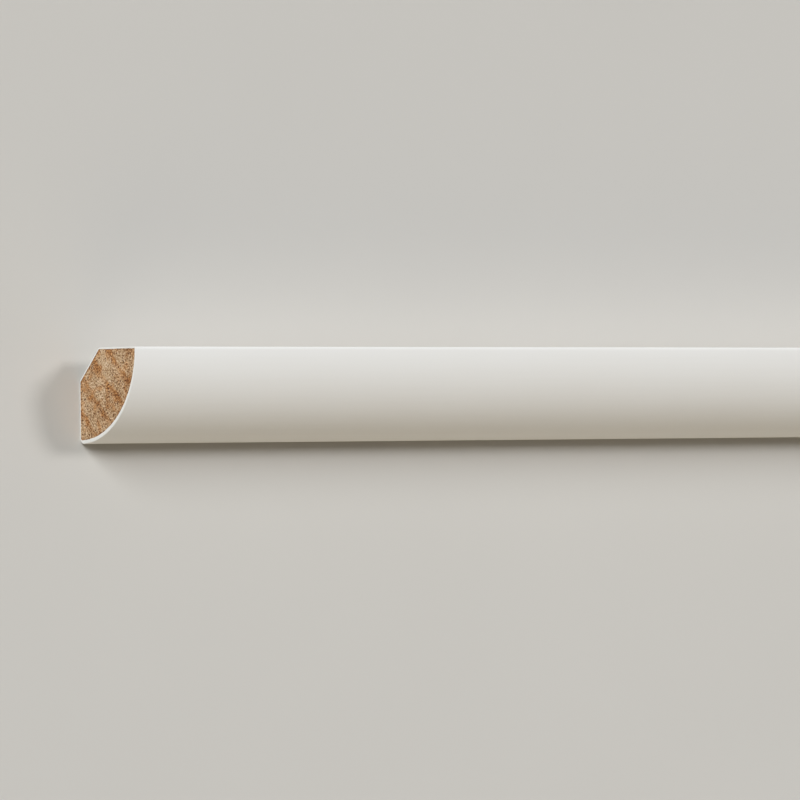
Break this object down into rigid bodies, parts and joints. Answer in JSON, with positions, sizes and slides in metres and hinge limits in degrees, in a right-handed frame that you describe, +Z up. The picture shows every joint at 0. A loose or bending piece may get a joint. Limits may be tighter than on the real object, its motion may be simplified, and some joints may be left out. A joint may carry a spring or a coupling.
{
  "type": "quarter round moulding",
  "caption": "Straight strip of white-coated timber with a convex quarter-round face, flat wall and floor faces and a relieved back corner, to cover the joint where a floor meets a wall.",
  "frame": {"origin": "mid length, midway between the wall plane and the nose, on the floor plane", "axes": "+X along the length, +Y towards the wall, +Z up off the floor"},
  "size_m": [2.4, 0.018, 0.018],
  "materials": {
    "white_coated_timber": "satin white coat on all long faces, bare sawn end grain at both ends"
  },
  "bodies": {
    "root": {"quarter_round_moulding": "white_coated_timber"}
  },
  "joints": []
}
